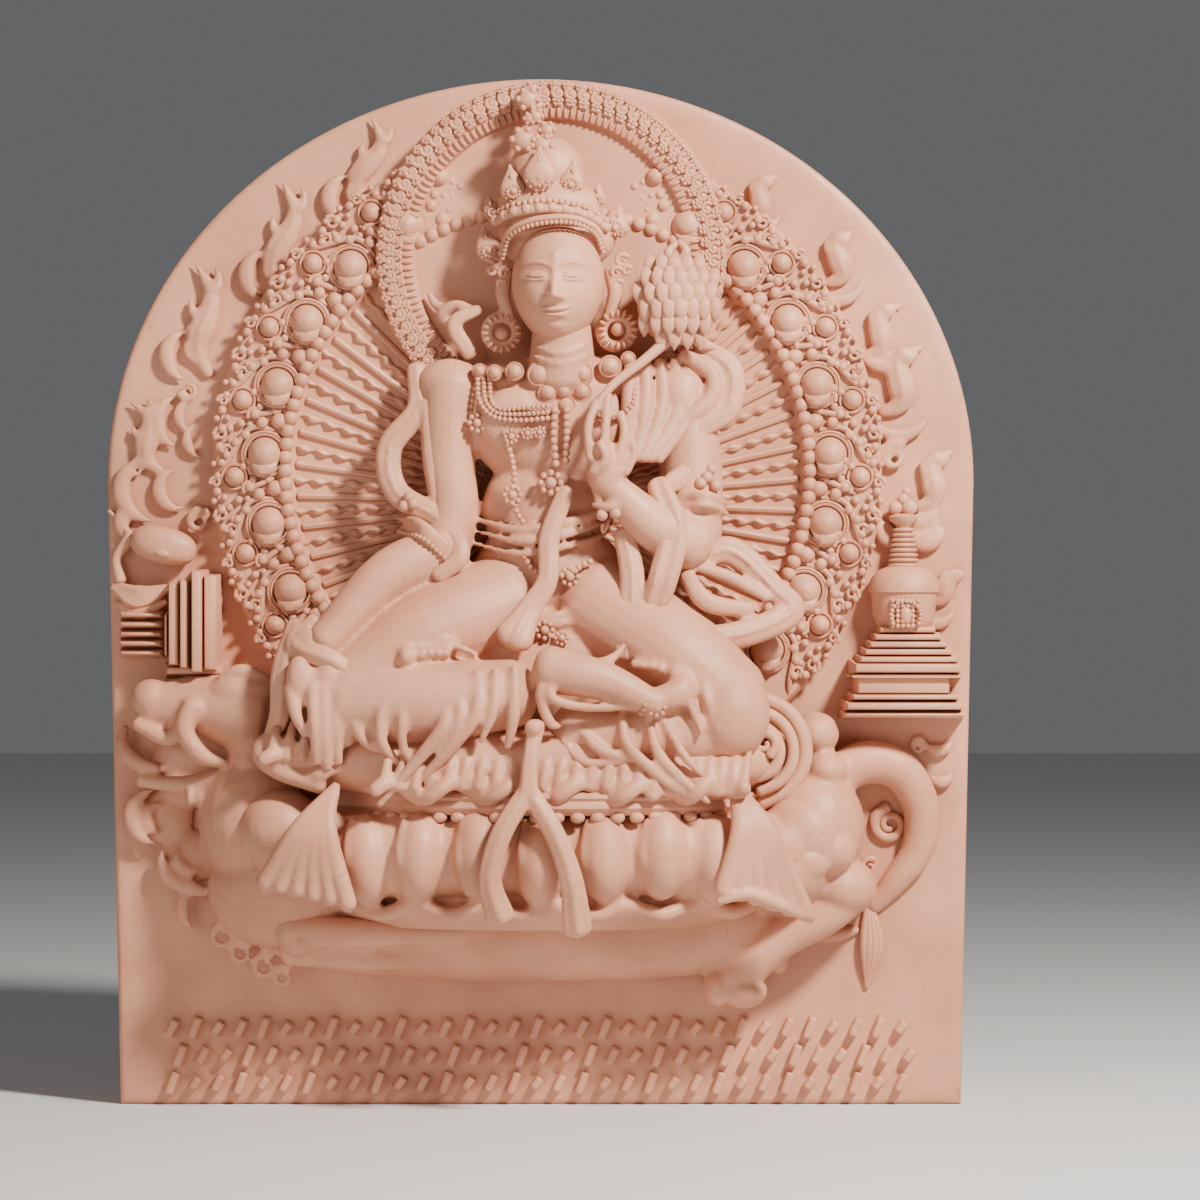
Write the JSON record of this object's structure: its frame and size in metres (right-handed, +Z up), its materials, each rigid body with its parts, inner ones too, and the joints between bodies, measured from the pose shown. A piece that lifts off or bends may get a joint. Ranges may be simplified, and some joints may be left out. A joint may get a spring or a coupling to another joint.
{
  "type": "moulded clay votive plaque",
  "caption": "Arched clay plaque with a seated figure in high relief before a jewelled round glory, on a bolster carried by a maned beast",
  "frame": {"origin": "middle of the slab's flat foot, halfway through the slab", "axes": "+Z up to the head of the arch, carved face towards -Y, +X to the viewer's right"},
  "size_m": [0.1267, 0.0486, 0.15],
  "materials": {
    "clay": "matte unglazed clay with a slight burnish"
  },
  "bodies": {
    "root": {"plaque": "clay"}
  },
  "joints": []
}
